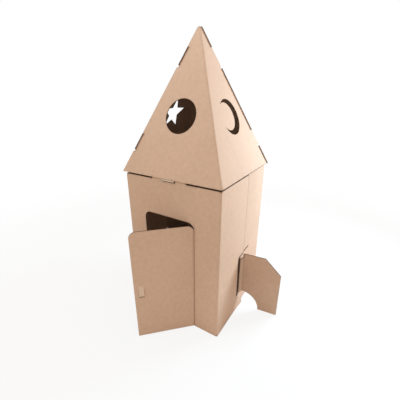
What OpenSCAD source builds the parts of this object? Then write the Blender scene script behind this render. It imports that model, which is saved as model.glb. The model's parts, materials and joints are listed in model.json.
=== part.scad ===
// Cardboard rocket playhouse: a square tower of two lapped wall sheets, a pointed roof of two folded
// sheets locked by fingers, a swinging door and a folded fin on each side. Lengths in millimetres.

/* [Board] */
// Thickness of the corrugated board
board = 5; // [4:0.5:6]
// Inside radius of every fold
fold_r = 3; // [2:0.5:5]
// Clearance between one sheet and the next
sheet_gap = 0.3; // [0.2:0.1:0.5]

/* [Tower] */
// Side of the square tower
tower_w = 640; // [600:5:680]
// Height of the wall tops
wall_h = 935; // [900:2:970]
// Lap of the two wall sheets on each side
lap = 60; // [54:2:80]

/* [Roof] */
// Height where the roof faces would meet in a point
peak_h = 1706; // [1600:2:1800]
// Overhang of the roof edge past the walls
eave = 6; // [5.5:0.5:8]
// Gap under the roof edge beside the lock tabs
eave_gap = 11; // [8:1:14]
// Length of one finger along the hip
finger_l = 104; // [80:2:120]
// Height of the lower finger along the hip
finger_low = 148; // [120:2:180]
// Height of the upper finger along the hip
finger_high = 662; // [600:2:700]
// How far a finger stands out of its notch
finger_out = 7; // [2:0.5:9]
// How far a notched edge runs on past its hip
hip_over = 6; // [3:0.5:8]
// Slack of a notch below its finger
notch_slack = 12; // [4:1:20]

/* [Windows] */
// Height of the round window and the star up the slope of the roof
window_up = 342; // [320:2:380]
// Height of the crescent up the slope of the roof
crescent_up = 334; // [312:2:370]
// Radius of the round window
round_r = 95; // [70:1:105]
// Outer radius of the crescent
crescent_r = 100; // [80:1:105]
// Radius of the disc that hollows the crescent
crescent_bite_r = 77; // [60:1:85]
// Shift of that disc towards the front
crescent_shift = 33; // [25:1:40]
// Shift of that disc up the slope
crescent_rise = 5; // [0:1:10]
// Radius of the star to its points
star_r = 104; // [70:1:110]
// Radius of the star to its inner corners
star_in_r = 43; // [30:1:50]

/* [Lock tabs] */
// Width of the tab folded under the roof
tab_w = 230; // [160:5:300]
// Length of the tab up the slope
tab_l = 70; // [50:2:90]
// Width of the hook tongue below the fold
tongue_w = 85; // [60:1:110]
// Length of the hook tongue beyond its bend
tongue_l = 9; // [6:1:11]
// Clearance between the roof edge and the bend of the tongue
tongue_drop = 1; // [0.5:0.5:3]
// Slope of the bent end of the tongue
tongue_lean = 35; // [25:1:50]

/* [Door] */
// Left edge of the doorway from the middle of the wall
door_left = 185; // [150:1:220]
// Hinge line of the door from the middle of the wall
door_hinge = 162; // [130:1:190]
// Height of the doorway
door_h = 723; // [650:1:780]
// Radius of the upper corners
door_r = 40; // [20:1:70]
// Gap above the leaf
door_drop = 9; // [4:1:12]
// Width of the cut beside the leaf
door_kerf = 2; // [1.5:0.5:4]
// Gap at the scored hinge fold
hinge_gap = 0.5; // [0.4:0.1:1]
// Gap between the leaf and the floor
door_lift = 4; // [3:1:8]
// Angle the leaf stands open
door_open = 45; // [0:1:120]
// Width of the latch flap
latch_w = 28; // [20:1:40]
// Height of the latch flap
latch_h = 66; // [50:1:90]
// Middle of the latch flap from the free edge
latch_in = 40; // [32:1:60]
// Lower end of the latch flap above the floor
latch_z = 304; // [250:2:400]
// Width of the cut beside the latch flap
latch_kerf = 0.8; // [0.5:0.1:1.5]
// Height of the finger slot below the latch flap
latch_slot = 12; // [8:1:16]
// Angle the latch flap is pressed out
latch_out = 7; // [3:1:12]

/* [Fins] */
// Reach of a fin from the wall
fin_reach = 255; // [220:1:280]
// Height of a fin
fin_h = 414; // [380:2:450]
// Width of the level top edge from the wall
fin_top_w = 152; // [120:2:170]
// Height where the sloping corner meets the outer edge
fin_corner_z = 312; // [270:2:340]
// Angle the fin is swept back
fin_sweep = 7; // [0:1:12]
// Radius of the arch under a fin
arch_r = 120; // [100:1:140]
// Distance of the arch centre from the wall
arch_in = 12; // [6:1:20]
// Distance of the fin fold from the wall
fin_stand = 14; // [10:1:18]
// Distance of the fin fold behind the middle of the wall
fin_back = 10; // [4:1:16]
// Clearance between the wall and the front edge of the fin strip
strip_gap = 0.5; // [0.3:0.1:0.9]
// Height of the strip at its lower end
strip_z = 120; // [110:1:140]
// Height of the strip
strip_h = 268; // [220:2:270]

/* [Fin slots] */
// Lower end of the upright slot
slot_z = 104; // [90:1:110]
// Width of the upright slot
slot_w = 25; // [22:1:30]
// Front edge of the upright slot ahead of the middle of the wall
slot_front = 52; // [50:1:54]
// Height of the level slit at its upper edge
slit_z = 412; // [400:1:430]
// Width of the level slit
slit_w = 7; // [4:0.5:9]
// Edge of the inner arm behind the upright slot, back from the middle of the wall
slot_back = 6; // [2:1:12]
// Length of the level slit behind the middle of the wall
slit_back = 126; // [100:2:150]
// Radius of the bend between slot and slit
slot_r = 25; // [12:1:30]

/* [Hidden] */
$fn = 96;
// How far a cut runs past the face it opens
overrun = 20;
half = tower_w / 2;
fold_out = fold_r + board;
// Flats that make up the bend along a roof hip
fold_steps = 9;
// The inner sheet of a lapped side is one board and one clearance further in
ply = board + sheet_gap;
seam = lap / 2;

// Roof angles and lengths, all from the base half width and the rise
roof_z = wall_h + eave_gap;
roof_half = half + eave;
rise = peak_h - roof_z;
slope_l = sqrt(pow(roof_half, 2) + pow(rise, 2));
hip_l = sqrt(2 * pow(roof_half, 2) + pow(rise, 2));
face_tilt = atan2(rise, roof_half);
hip_lean = atan2(sqrt(2) * roof_half, rise);
hip_turn = atan2(slope_l, -roof_half);
face_bend = acos(pow(roof_half / slope_l, 2));
// From a hip straight across the face, past its far corner
face_reach = 2 * roof_half * slope_l / hip_l + overrun;
joint_setback = board / sin(face_bend) + sheet_gap;

// Where the wall folds inwards so that the lock tab lies under the roof
tab_bend = 90 - face_tilt;
tab_setback = fold_out * tan(tab_bend / 2);
tab_fold_z = roof_z - ply * cos(face_tilt) + (eave - ply * sin(face_tilt)) * tan(face_tilt);

// Free edge of the door leaf, counted from its hinge line
leaf_edge = door_hinge + door_left - door_kerf;

// A direction, and points of an arc round the origin
function unit(a) = [cos(a), sin(a)];
function arc(r, from, turn) = [for (i = [0:fold_steps]) r * unit(from + turn * i / fold_steps)];

// A band of board bent round a corner, seen in section, with a straight leg at each end
module bend2d(from, turn, leg) {
    rotate(from) translate([fold_r, -leg]) square([board, leg]);
    rotate(from + turn) translate([fold_r, 0]) square([board, leg]);
    intersection() {
        difference() {
            circle(r = fold_out);
            circle(r = fold_r);
        }
        polygon([
            [0, 0],
            2 * fold_out * unit(from),
            2 * fold_out * unit(from + turn / 2),
            2 * fold_out * unit(from + turn),
        ]);
    }
}

// A board folded once, seen in section: a leg at each end and the bend between them as one outline
module folded2d(from, turn, lead_l, trail_l) {
    lead = lead_l * unit(from - 90);
    trail = trail_l * unit(from + turn + 90);
    outer = arc(fold_out, from, turn);
    inner = arc(fold_r, from + turn, -turn);
    polygon(concat(
        [outer[0] + lead], outer, [outer[fold_steps] + trail],
        [inner[0] + trail], inner, [inner[fold_steps] + lead]
    ));
}

// A rectangle with its two upper corners rounded
module arched2d(x0, x1, z0, z1, r) {
    translate([x0, z0]) square([x1 - x0, z1 - z0 - r]);
    translate([x0 + r, z0]) square([x1 - x0 - 2 * r, z1 - z0]);
    translate([x0 + r, z1 - r]) circle(r = r);
    translate([x1 - r, z1 - r]) circle(r = r);
}

// A rectangle with its upper front corner rounded
module cornered2d(y0, y1, z0, z1, r) {
    translate([y0, z0]) square([y1 - y0, z1 - z0 - r]);
    translate([y0 + r, z0]) square([y1 - y0 - r, z1 - z0]);
    translate([y0 + r, z1 - r]) circle(r = r);
}

// Plan of a wall sheet: the wall with an arm at each end, the left arm one ply further in
module u_plan2d() {
    translate([half - board, fold_out - half]) square([board, half - fold_out + seam]);
    translate([ply - half, fold_out - half]) square([board, half - fold_out + seam]);
    translate([ply - half + fold_out, -half]) square([tower_w - ply - 2 * fold_out, board]);
    translate([half - fold_out, fold_out - half]) bend2d(-90, 90, board);
    translate([ply - half + fold_out, fold_out - half]) bend2d(180, 90, board);
}

// Upright slot with the level slit that leads from it to the edge of the outer arm
module slot2d() {
    difference() {
        cornered2d(-slot_front, seam + overrun, slot_z, slit_z, slot_r);
        cornered2d(slot_w - slot_front, seam + 2 * overrun, 0, slit_z - slit_w, slot_r / 2);
    }
}

// Level slit in the inner arm, which is cut back behind the upright slot
module slit2d() {
    translate([-slit_back, slit_z - slit_w]) square([slit_back + seam + overrun, slit_w]);
    translate([-slot_back, slot_z]) square([slot_back + seam + overrun, slit_z - slot_z]);
}

// Frame of the fold between the wall and its lock tab, in section
module on_tab_fold2d() {
    translate([fold_out - half, tab_fold_z - tab_setback]) children();
}

// Section of the lock tab, from inside the wall below it to its free end
module tab2d() {
    land = tab_fold_z - tab_setback - wall_h;
    on_tab_fold2d() folded2d(180 - tab_bend, tab_bend, tab_l, land + board);
}

// Where the hook tongue bends out, counted up the tab from its fold
function tongue_bend() =
    [-eave - fold_out, roof_z - tab_fold_z + tab_setback] * unit(face_tilt) - tongue_drop;

// Section of the hook tongue: straight on from the tab, then bent out below the roof edge, pressed thinner
module tongue2d() {
    up = unit(face_tilt);
    across = unit(face_tilt + 90);
    thick = board - 2 * sheet_gap;
    inner = fold_r + sheet_gap;
    outer = inner + thick;
    bend = tongue_bend();
    miter = thick * tan((face_tilt - tongue_lean) / 2);
    tip = outer * across + bend * up - tongue_l * unit(tongue_lean);
    on_tab_fold2d() polygon([
        inner * across + tab_l / 2 * up,
        outer * across + tab_l / 2 * up,
        outer * across + bend * up,
        tip,
        tip - thick * unit(tongue_lean + 90),
        inner * across + (bend - miter) * up,
    ]);
}

// Frame of the front roof face: across, up the slope, outwards
module on_face() {
    translate([0, -roof_half, roof_z]) rotate([face_tilt, 0, 0]) children();
}

// A length of a section that lies across the front wall, centred on it
module along_wall(w) {
    translate([-w / 2, 0, 0]) rotate([90, 0, 90]) linear_extrude(height = w) children();
}

// A cut through an arm of a wall sheet
module through_arm(x) {
    translate([x - overrun, 0, 0])
        rotate([90, 0, 90])
            linear_extrude(height = board + 2 * overrun) children();
}

// One wall sheet, folded to a U, with its lock tab and the slots for both fins
module wall_sheet() {
    notch_w = tongue_w + 2 * door_kerf;
    tongue_cut = tongue_l + door_kerf - tongue_bend();
    notch_z = tab_fold_z - tongue_cut;
    difference() {
        union() {
            linear_extrude(height = wall_h) u_plan2d();
            along_wall(tab_w) tab2d();
        }
        through_arm(half - board) slot2d();
        through_arm(ply - half) slit2d();
        translate([-notch_w / 2, -half - overrun, notch_z]) cube([notch_w, fold_out + overrun, tongue_cut]);
    }
    along_wall(tongue_w) tongue2d();
}

module front_sheet() {
    color("burlywood") difference() {
        wall_sheet();
        translate([0, board + overrun - half, 0])
            rotate([90, 0, 0])
                linear_extrude(height = board + 2 * overrun)
                    arched2d(-door_left, door_hinge + hinge_gap / 2, -overrun, door_h, door_r);
    }
}

module rear_sheet() {
    color("burlywood") rotate([0, 0, 180]) wall_sheet();
}

// Section of the latch flap, pressed out round its upper fold
module latch2d() {
    out = [cos(latch_out), -sin(latch_out)];
    down = latch_h * [-sin(latch_out), -cos(latch_out)];
    polygon([[0, fold_r], [board, fold_r], [board, 0], board * out, board * out + down, down, [0, 0]]);
}

module door() {
    latch_x = latch_in - leaf_edge;
    leaf_h = door_h - door_drop;
    color("tan") translate([door_hinge, -half, 0]) rotate([0, 0, door_open]) {
        difference() {
            translate([0, board, 0])
                rotate([90, 0, 0])
                    linear_extrude(height = board)
                        arched2d(-leaf_edge, -hinge_gap / 2, door_lift, leaf_h, door_r - door_kerf);
            translate([latch_x - latch_w / 2 - latch_kerf, -overrun, latch_z - latch_slot])
                cube([latch_w + 2 * latch_kerf, board + 2 * overrun, latch_h + latch_slot]);
        }
        translate([latch_x - latch_w / 2, 0, latch_z + latch_h])
            rotate([90, 0, 90]) linear_extrude(height = latch_w) latch2d();
    }
}

// Frame of the right hip on a face: up along the hip, inwards across the face
module on_hip2d() {
    translate([roof_half, 0]) rotate(hip_turn) children();
}

// Everything beyond a line along the right hip, a given way in from it
module beyond_hip2d(w) {
    on_hip2d() translate([-face_reach, -slope_l]) square([hip_l + 2 * face_reach, slope_l + w]);
}

// Everything below the roof edge
module below_edge2d() {
    translate([-roof_half - face_reach, -face_reach]) square([2 * (roof_half + face_reach), face_reach]);
}

module star2d() {
    polygon([for (i = [0:9]) (i % 2 == 0 ? star_r : star_in_r) * [sin(36 * i), cos(36 * i)]]);
}

// The windows: a round one, a crescent open to the front and a five-pointed star
module window2d(kind) {
    if (kind == "round") translate([0, window_up]) circle(r = round_r);
    if (kind == "crescent") translate([0, crescent_up]) difference() {
        circle(r = crescent_r);
        translate([-crescent_shift, crescent_rise]) circle(r = crescent_bite_r);
    }
    if (kind == "star") translate([0, window_up]) star2d();
}

// Waste round the first face, which has notches along its left hip
module notched_waste2d(kind) {
    below_edge2d();
    mirror([1, 0]) beyond_hip2d(-hip_over);
    window2d(kind);
    for (up = [finger_low, finger_high])
        mirror([1, 0]) on_hip2d()
            translate([up - notch_slack, -overrun])
                square([finger_l + notch_slack + door_kerf, joint_setback + overrun]);
}

// Waste round the second face, which keeps fingers along its right hip
module fingered_waste2d(kind) {
    below_edge2d();
    window2d(kind);
    difference() {
        beyond_hip2d(joint_setback);
        for (up = [finger_low, finger_high])
            on_hip2d() translate([up, -finger_out]) square([finger_l, finger_out + joint_setback + board]);
    }
}

// The cut of a face through the board
module cut_face() {
    on_face() translate([0, 0, -board - overrun]) linear_extrude(height = board + 2 * overrun) children();
}

// One roof sheet: a board folded along the hip, then cut to its two faces
module roof_sheet(first, second) {
    difference() {
        rotate([0, 0, -45])
            translate([sqrt(2) * roof_half, 0, roof_z])
                rotate([0, -hip_lean, 0])
                    translate([-fold_out / cos(face_bend / 2), 0, -overrun])
                        linear_extrude(height = hip_l + overrun)
                            folded2d(-face_bend / 2, face_bend, face_reach, face_reach);
        cut_face() notched_waste2d(first);
        rotate([0, 0, 90]) cut_face() fingered_waste2d(second);
    }
}

module roof_front() {
    color("burlywood") roof_sheet("round", "crescent");
}

module roof_rear() {
    color("burlywood") rotate([0, 0, 180]) roof_sheet("plain", "star");
}

// The fin board in plan, counted from the outer face of the wall: the plate, a fold and the strip
module fin_plan2d() {
    corner = [fin_stand, fin_back];
    strip = corner - [board / 2 + strip_gap, slot_w - slot_front];
    turn = atan2(strip.y, strip.x) - fin_sweep;
    middle_r = fold_r + board / 2;
    strip_l = norm(strip) - middle_r * tan(turn / 2);
    translate(corner)
        rotate(90 + fin_sweep)
            translate(-middle_r / cos(turn / 2) * unit(turn / 2))
                folded2d(0, turn, fin_reach + overrun, strip_l);
}

// Outline of the fin seen from the front: strip beside the wall, plate with its arch beyond it
module fin_outline2d() {
    translate([0, strip_z]) square([fin_stand + board, strip_h]);
    difference() {
        polygon([
            [fin_stand - board / 2, 0],
            [fin_reach, 0],
            [fin_reach, fin_corner_z],
            [fin_top_w, fin_h],
            [fin_stand - board / 2, fin_h],
        ]);
        translate([arch_in, 0]) circle(r = arch_r);
    }
}

module fin() {
    translate([half, 0, 0]) intersection() {
        linear_extrude(height = fin_h) fin_plan2d();
        rotate([90, 0, 0]) linear_extrude(height = tower_w, center = true) fin_outline2d();
    }
}

module fin_right() {
    color("tan") fin();
}

module fin_left() {
    color("tan") rotate([0, 0, 180]) fin();
}

front_sheet();
door();
rear_sheet();
roof_front();
roof_rear();
fin_right();
fin_left();
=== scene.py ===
import json
from math import atan, cos, pi, radians, sin, tan

import bpy
import numpy as np
from bpy.props import FloatProperty, FloatVectorProperty, PointerProperty
from mathutils import Color, Matrix, Vector
from mathutils.geometry import delaunay_2d_cdt


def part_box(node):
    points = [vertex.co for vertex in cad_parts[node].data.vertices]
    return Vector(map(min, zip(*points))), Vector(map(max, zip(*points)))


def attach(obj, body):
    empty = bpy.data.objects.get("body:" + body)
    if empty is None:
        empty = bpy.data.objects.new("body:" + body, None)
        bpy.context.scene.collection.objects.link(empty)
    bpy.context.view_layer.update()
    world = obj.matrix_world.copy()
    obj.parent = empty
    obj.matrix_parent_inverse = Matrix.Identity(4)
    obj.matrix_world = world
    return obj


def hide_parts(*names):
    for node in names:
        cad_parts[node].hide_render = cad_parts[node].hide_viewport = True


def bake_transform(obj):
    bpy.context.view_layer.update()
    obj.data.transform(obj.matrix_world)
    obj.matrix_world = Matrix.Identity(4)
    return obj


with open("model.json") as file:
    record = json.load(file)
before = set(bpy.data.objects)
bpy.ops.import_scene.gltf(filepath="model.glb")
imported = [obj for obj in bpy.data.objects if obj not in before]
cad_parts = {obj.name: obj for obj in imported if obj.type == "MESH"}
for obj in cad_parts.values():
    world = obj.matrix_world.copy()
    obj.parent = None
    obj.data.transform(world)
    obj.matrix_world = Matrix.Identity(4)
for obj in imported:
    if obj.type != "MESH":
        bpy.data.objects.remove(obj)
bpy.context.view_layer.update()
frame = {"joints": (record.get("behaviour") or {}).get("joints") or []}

bl_info = {
    "name": "Cardboard rocket playhouse",
    "version": (1, 0, 0),
    "blender": (4, 5, 0),
    "location": "3D View > Sidebar > Playhouse",
    "description": "Folds the playhouse from flat cuts of corrugated board and sets up its studio",
    "category": "Object",
}

HINGE = frame["joints"][0]
FLAT_MAP = "board_flat"

# Flat cuts; lengths are in metres.
NO_POINTS = np.zeros((0, 2))
SAME_POINT, JOINED = 1e-6, 1e-8  # nearer outline points, or corners of triangles, are one
DECIMALS = 6  # grid lines are rounded to the micrometre
AT_ONCE = 800  # points measured against the outlines together
BLUNTEST, MITRE_LIMIT = 0.5, 1.6  # least square of two summed normals; longest mitre in widths
BESIDE_FROM, GRID_FROM = 0.8, 1.3  # widths that the row beside an outline and the grid keep off it
SHARP_FROM = radians(34)  # edges that turn by more are drawn sharp
CORNER_PARTS, HIP_PARTS, LATCH_PARTS = 6, 8, (4, 5)
ROUND_PARTS, MOON_PARTS, BITE_PARTS, ARCH_PARTS = 72, 60, 48, 28
STAR_POINTS = 5
FIN_STEP = 0.8  # a fin's grid is this much finer

# Grid lines on both sides of a score, a fold, a seam, a slit and the bends of tab, flap and tongue.
SCORE_LINES = (0, 0.0015, 0.003, 0.005, 0.008, 0.014)
CORNER_LINES, HIP_LINES, FIN_LINES = (0, 0.003, 0.008), (0, 0.004, 0.010), (0, 0.006, 0.010)
SEAM_LINES, SLIT_LINES = (0, 0.004, 0.008, 0.014), (0, 0.0065, 0.009, 0.014)
TAB_LINES, LATCH_LINES = (0, 0.0012, 0.0024, 0.005, 0.010), (0, 0.0015, 0.004)
TONGUE_LINES = np.array([0, 0.0007])

# How dark a cut edge is, from the liner's face at 0 to the depth of the flutes at 1. Up to 0.45 it takes
# the cut colour, partly the edge's own and partly painted shade; towards 1 it is painted shade in the
# flutes, which also covers the back of the fluted paper.
EDGE_DARK = (0.30, 0.45, 1.0)  # rim, inner corner of the liner, recess
RIBBON_DARK = (0.40, 0.40, 1.0, 1.0)  # fluted paper at the cut and at its back
LIGHT_CUT_SHARE = 0.3  # share of that darkness on the cuts round the tongue and the latch flap, which read paler with their painted highlight
UNDERCUT = 1.1  # the recess starts this many liners in
RIBBON_BACK, WAVE_PARTS = 0.0003, 6  # set-back of the fluted paper; steps along one flute

# Creases: 1 is crushed paper along a fold; on the seam and the slits the same darkening is painted
# shade. Below 0 is a painted highlight, mixed towards the pale colour. The dent runs across a face and
# up it.
SCORE_W, FOLD_W, SLIT_W, SEAM_W, DENT_W = 0.0035, 0.004, 0.006, 0.007, 0.0025
# The seam's value paints a shadow line down the end of the outer arm.
CORNER_CRUSH, HIP_CRUSH, SEAM_SHADE, DENT_CRUSH = 0.12, 0.1, 0.9, 0.45
# Painted highlights: the tongue and the latch flap are mixed towards the pale colour as if lit from
# above.
TONGUE_HIGHLIGHT, FLAP_HIGHLIGHT = -1, -0.5
DENT, DENT_PARTS = np.array([(-0.108, 0.221), (-0.062, 0.012)]), 23
DENT_LINES = (-0.006, -0.0025, 0, 0.0025, 0.006)

# Loose board: where an outer arm springs out, ahead of the middle and up the wall.
SPRING_AHEAD, SPRING_TOP, SPRING_POWER = 0.25, 0.36, 1.6
NARROWEST = 0.05  # half width at which the belly of a roof face stops narrowing
TONGUE_R = 0.0006  # radius of the tongue's bend

# Hinge band: shares of the recess and of its reach, depths in liners, its lift and its points.
BAND_REACH, BAND_BEND, BAND_TURN = 0.8, 0.35, 0.35
BAND_DEPTHS, BAND_LIFT, BAND_HALF, BAND_RINGS = (1.2, 2.0), 0.002, 8, 40

# Kraft board: tone of the outer liner, of the other liner beside it, and start of the noise. The darker
# other liner is painted shade inside the house, deepest on the rear sheet; the fins' lower outer tone is
# painted shade beside the wall.
TONES = {"front_sheet": (1.0, 0.68, 0.0), "rear_sheet": (0.99, 0.48, 1.0), "door": (1.01, 0.9, 5.0),
         "roof_front": (1.0, 0.72, 2.0), "roof_rear": (1.0, 0.72, 3.0),
         "fin_right": (0.92, 1.0, 7.0), "fin_left": (0.92, 1.0, 8.0)}
# Scale, detail and roughness of each noise; fibres are long along the flutes.
CLOUD, MOTTLE, FIBRE, GRAIN = (2.6, 3.0, 0.5), (46.0, 5.0, 0.62), (1.0, 3.0, 0.6), (620.0, 2.0, 0.5)
FIBRE_SCALE = (900, 150, 1)
# What the middle of a noise, or a whole wave, is stretched to.
MIDDLE, WAVE = (0.3, 0.7), (-1, 1)
# The wave's colour range paints faint shade along the flutes under the liner.
CLOUD_TONE, MOTTLE_TONE, FLUTE_SHADE = (0.955, 1.035), (0.935, 1.055), (0.992, 1.006)
# The middle range darkens the band beside a cut: partly wear, partly painted shade.
CRUSHED, RUBBED_AND_SHADED, ROUGH = (0.55, 0.85), (0.28, 0.58), (0.72, 0.9)
FLECKED, PALED = (0.58, 0.82, 0, 0.55), (0.62, 0.80, 0, 0.5)
OTHER_LINER = (0.4, 0.6)  # shares of the depth between the two liners
# Depths for the cut colour, partly the edge's own and partly painted shade, and then for the hollow's
# painted shade.
CUT_FROM, HOLLOW_FROM = (0.0, 0.4), (0.45, 1.0)
FIBRE_H, WAVE_H, LUMP_H, BUMP = 0.00022, 0.00006, 0.0006, 0.35
SPECULAR, SHEEN, SHEEN_ROUGH = 0.35, 0.04, 0.5
MIX_SHARE, MIX_A, MIX_B, MIX_OUT = 0, 6, 7, 2  # a Mix node's sockets for colours

# Studio: the floor and its glow, and the power, side, place, target and tint of each lamp.
FLOOR_RINGS, FLOOR_SPOKES, FLOOR_DROP = 24, 72, 0.0005
FLOOR_CLOUD, FLOOR_TONE = (3.0, 3.0, 0.5), (0.99, 1.01)
GLOW_FROM, GLOW = (0.9, 3.2), (0.84, 1.0)
INDOORS = (1.0, 1.02)  # shares of the walls' distance at which the glow starts
LAMPS = {
    "window_light": ("key", 0.9, (1.15, 1.35, 1.35), (0.32, 0.25, 0.8), (0.66, 0.84, 1.0)),
    "ceiling_light": ("ceiling", 1.4, (-0.2, -0.8, 2.6), (0, -0.1, 1.2), (0.68, 0.85, 1.0)),
    "front_light": ("fill", 2.0, (-1.2, -2.6, 1.0), (0, -0.2, 0.6), (0.85, 0.92, 1.0)),
}
SENSOR, NEAREST = 36, 0.02


def length(name, description, default):
    """A size in metres that the panel shows."""
    return FloatProperty(name=name, description=description, default=default, precision=5,
                         unit="LENGTH")


def angle(name, description, default):
    """An angle given in degrees, which the panel shows."""
    return FloatProperty(name=name, description=description, default=radians(default), subtype="ANGLE")


def colour(name, description, default):
    """A colour in linear red, green and blue."""
    return FloatVectorProperty(name=name, description=description, default=default, size=3,
                               min=0, max=1, subtype="COLOR")


def power(name, description, default):
    """The power of a lamp in watts."""
    return FloatProperty(name=name, description=description, default=default, unit="POWER")


class BoardSizes(bpy.types.PropertyGroup):
    """Sizes of the corrugated board itself."""
    thick: length("Board", "Thickness of the corrugated board", 0.005)
    liner: length("Liner", "Thickness of the paper on each face", 0.0005)
    rim: length("Rim", "Rounding of a cut liner", 0.0002)
    recess: length("Recess", "How far a cut edge falls back between the liners", 0.0026)
    pitch: length("Flute pitch", "Length of one wave of the fluting", 0.0076)
    medium: length("Medium", "Thickness of the fluted paper", 0.0004)
    fold_r: length("Fold radius", "Inside radius of every fold", 0.003)
    gap: length("Clearance", "Clearance between one sheet and the next", 0.0003)
    # The band of this width beside a cut is painted darker: partly wear, partly painted shade at the
    # edge.
    worn: length("Worn edge", "Width of the rubbed paper beside a cut", 0.0022)
    step: length("Step", "Longest side of a facet on a flat face", 0.024)
    bow: length("Bow", "How far a wall bellies out in its middle", 0.0022)


class TowerSizes(bpy.types.PropertyGroup):
    """Sizes of the two wall sheets."""
    half: length("Half side", "Half the side of the square tower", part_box("front_sheet")[1].x)
    wall_h: length("Wall height", "Height of the wall tops", 0.935)
    seam: length("Half lap", "Half the lap of the two sheets on each side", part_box("front_sheet")[1].y)
    tab_w: length("Tab width", "Width of the tab folded under the roof", 0.230)
    tab_l: length("Tab length", "Length of the tab up the slope", 0.070)
    tongue_w: length("Tongue width", "Width of the hook tongue below the fold", 0.085)
    tongue_l: length("Tongue length", "Length of the hook tongue beyond its bend", 0.009)
    tongue_drop: length("Tongue drop", "Clearance between the roof edge and the tongue's bend", 0.001)
    tongue_lean: angle("Tongue slope", "Slope of the bent end of the tongue", 35)
    kerf: length("Kerf", "Width of a cut between two parts of one sheet", 0.002)
    slot_z: length("Slot foot", "Lower end of the upright fin slot", 0.104)
    slot_w: length("Slot width", "Width of the upright fin slot", 0.025)
    slot_front: length("Slot front", "Front edge of the slot ahead of the middle", 0.052)
    slot_r: length("Slot bend", "Radius of the bend between slot and slit", 0.025)
    slit_z: length("Slit top", "Upper edge of the level slit", 0.412)
    slit_w: length("Slit width", "Width of the level slit", 0.007)
    slit_back: length("Slit length", "Length of the inner slit past the middle", 0.126)
    slot_back: length("Slot back", "Edge of the inner arm behind the slot, back from the middle", 0.006)
    flare: length("Flare", "How far the foot of an outer arm springs out at its edge", 0.006)
    spread: length("Spread", "How far an outer arm springs out ahead of its slot", 0.005)


class DoorSizes(bpy.types.PropertyGroup):
    """Sizes of the doorway, the leaf and its latch flap."""
    left: length("Left edge", "Left edge of the doorway from the middle", 0.185)
    hinge: length("Hinge line", "Hinge line from the middle of the wall", HINGE["pos_m"][0])
    top: length("Doorway height", "Height of the doorway", 0.723)
    drop: length("Top gap", "Gap above the leaf", 0.009)
    corner: length("Corner radius", "Radius of the upper corners", 0.040)
    gap: length("Hinge gap", "Gap at the scored hinge fold", 0.0005)
    lift: length("Lift", "Gap between the leaf and the floor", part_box("door")[0].z)
    open: angle("Open", "Angle the leaf stands open at rest", -HINGE["range_deg"][0])
    latch_w: length("Latch width", "Width of the latch flap", 0.028)
    latch_h: length("Latch height", "Height of the latch flap", 0.066)
    latch_in: length("Latch place", "Middle of the flap from the free edge", 0.040)
    latch_z: length("Latch foot", "Lower end of the latch flap", 0.304)
    latch_kerf: length("Latch cut", "Width of the cut beside the latch flap", 0.0008)
    latch_slot: length("Latch slot", "Height of the finger slot below the flap", 0.012)
    latch_out: angle("Latch angle", "Angle the flap is pressed out", 7)


class RoofSizes(bpy.types.PropertyGroup):
    """Sizes of the two folded roof sheets and their windows."""
    half: length("Half base", "Half the side of the roof base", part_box("roof_front")[1].x)
    base_z: length("Base height", "Height of the roof edge", 0.946)
    peak: length("Peak height", "Height where the faces would meet in a point", 1.706)
    finger_l: length("Finger length", "Length of a finger along the hip", 0.104)
    finger_low: length("Lower finger", "Height of the lower finger along the hip", 0.148)
    finger_high: length("Upper finger", "Height of the upper finger along the hip", 0.662)
    finger_out: length("Finger reach", "How far a finger stands out of its notch", 0.007)
    hip_over: length("Hip overrun", "How far a notched edge runs on past its hip", 0.006)
    slack: length("Notch slack", "Slack of a notch below its finger", 0.012)
    window_up: length("Window height", "Centres of the round window and the star up the slope", 0.342)
    round_r: length("Round window", "Radius of the round window", 0.095)
    moon_up: length("Crescent height", "Centre of the crescent up the slope", 0.334)
    moon_r: length("Crescent", "Outer radius of the crescent", 0.100)
    bite_r: length("Crescent hollow", "Radius of the disc that hollows the crescent", 0.077)
    bite_in: length("Hollow shift", "Shift of that disc towards the front", 0.033)
    bite_up: length("Hollow rise", "Shift of that disc up the slope", 0.005)
    star_r: length("Star", "Radius of the star to its points", 0.104)
    star_in: length("Star corners", "Radius of the star to its inner corners", 0.043)


class FinSizes(bpy.types.PropertyGroup):
    """Sizes of a folded fin."""
    reach: length("Reach", "Reach of a fin from the wall", 0.255)
    top: length("Height", "Height of a fin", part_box("fin_right")[1].z)
    top_w: length("Top width", "Width of the level top edge", 0.152)
    corner_z: length("Corner height", "Height where the slope meets the outer edge", 0.312)
    sweep: angle("Sweep", "Angle the fin is swept back", 7)
    arch_r: length("Arch", "Radius of the arch under a fin", 0.120)
    arch_in: length("Arch place", "Distance of the arch centre from the wall", 0.012)
    stand: length("Fold stand-off", "Distance of the fin fold from the wall", 0.014)
    back: length("Fold place", "Distance of the fin fold behind the middle", 0.010)
    strip_gap: length("Strip gap", "Clearance between the wall and the strip", 0.0005)
    strip_z: length("Strip foot", "Lower end of the strip beside the wall", 0.120)
    strip_h: length("Strip height", "Height of the strip", 0.268)


class BoardFinish(bpy.types.PropertyGroup):
    """Colours of the brown board."""
    liner: colour("Liner", "Kraft paper of the liners", (0.635, 0.425, 0.295))
    fleck: colour("Fleck", "Dark fibres in the paper", (0.330, 0.190, 0.110))
    # The pale colour also paints the highlight on the tongue and the latch flap.
    pale: colour("Pale fibre", "Pale fibres in the paper, and fresh paper", (0.760, 0.580, 0.430))
    # The crease colour also paints shade along the seam and the slits.
    crease: colour("Crease", "Paper crushed along a fold", (0.390, 0.215, 0.140))
    # The cut colour is partly the edge's own colour and partly painted shade in slots, slits and gaps.
    cut: colour("Cut", "Cut edge of the liners and the fluting", (0.190, 0.100, 0.055))
    # The hollow colour is painted shade deep in the flutes.
    hollow: colour("Hollow", "Depth of the flutes", (0.040, 0.012, 0.004))


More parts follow.
